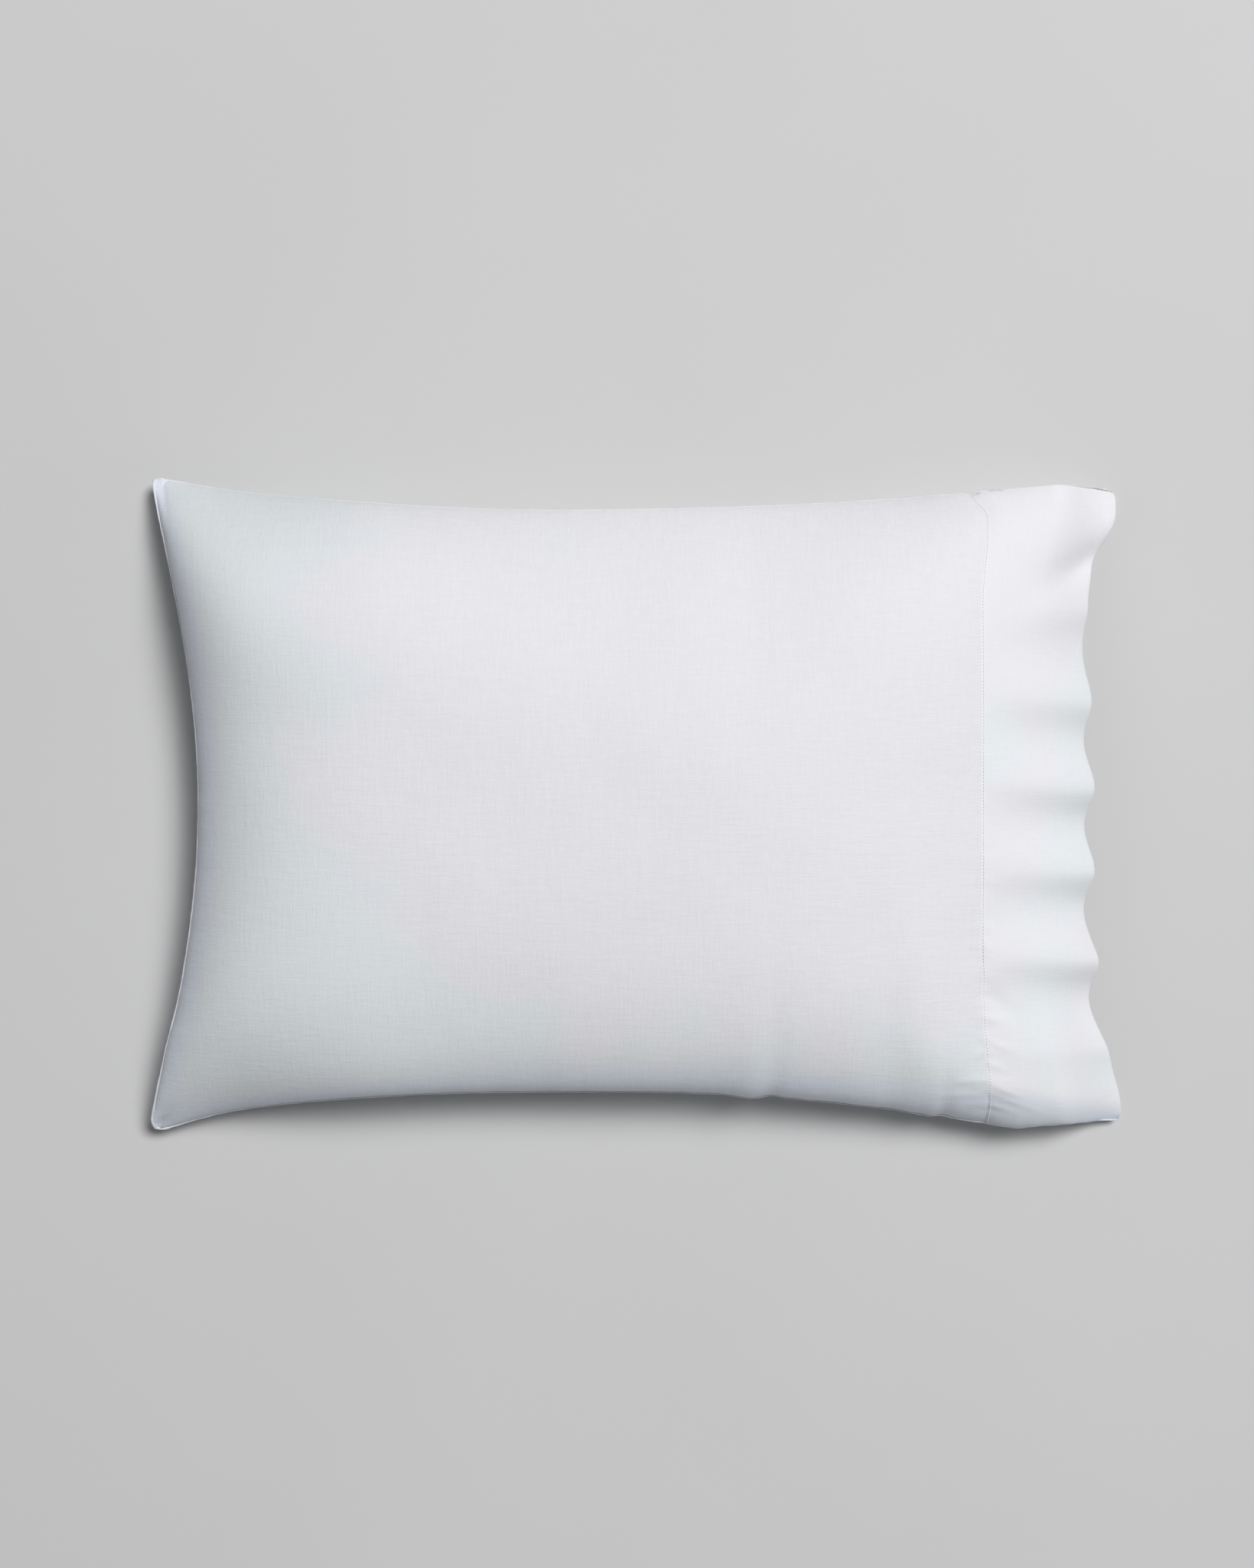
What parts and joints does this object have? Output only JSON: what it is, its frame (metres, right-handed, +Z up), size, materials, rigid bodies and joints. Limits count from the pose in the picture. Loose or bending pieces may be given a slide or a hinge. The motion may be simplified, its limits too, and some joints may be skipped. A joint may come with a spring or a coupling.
{
  "type": "bed pillow",
  "caption": "Bed pillow: a plump filled insert inside a smooth white linen pillowcase with a deep stitched hem round its open end.",
  "frame": {"origin": "on the surface the pillow lies on, under the centre of its bounding box", "axes": "+X from the closed end to the open mouth, +Y across the pillow, +Z up through its front face"},
  "size_m": [0.7596, 0.5136, 0.15],
  "materials": {
    "linen_panel": "washed plain-weave linen, matt",
    "linen_hem": "double layer of washed linen, matt",
    "linen_seam": "folded linen seam, matt",
    "sewing_thread": "polyester sewing thread, slight lustre",
    "label_tape": "blank woven tape, slight lustre",
    "cotton_ticking": "down-proof cotton cambric, dense and matt",
    "cotton_piping": "bias-cut cotton over cord, matt",
    "fibre_filling": "soft loose fibre"
  },
  "bodies": {
    "pillowcase": {"case_front_panel": "linen_panel", "case_back_panel": "linen_panel", "case_front_hem": "linen_hem", "case_back_hem": "linen_hem", "case_end_seam": "linen_seam", "case_side_seam_left": "linen_seam", "case_side_seam_right": "linen_seam", "case_front_hem_stitching": "sewing_thread", "case_back_hem_stitching": "sewing_thread", "case_care_label": "label_tape"},
    "insert": {"insert_ticking_front": "cotton_ticking", "insert_ticking_back": "cotton_ticking", "insert_piping": "cotton_piping", "insert_filling": "fibre_filling", "insert_closing_stitch": "sewing_thread", "insert_law_label": "label_tape"}
  },
  "joints": [
    {"name": "insert_slide", "type": "slide", "parent": "pillowcase", "child": "insert", "axis": [1, 0, 0], "range_m": [0, 0.78], "deforming": ["case_front_panel", "case_back_panel", "case_front_hem", "case_back_hem", "case_end_seam", "case_side_seam_left", "case_side_seam_right", "case_front_hem_stitching", "case_back_hem_stitching", "case_care_label"]}
  ]
}
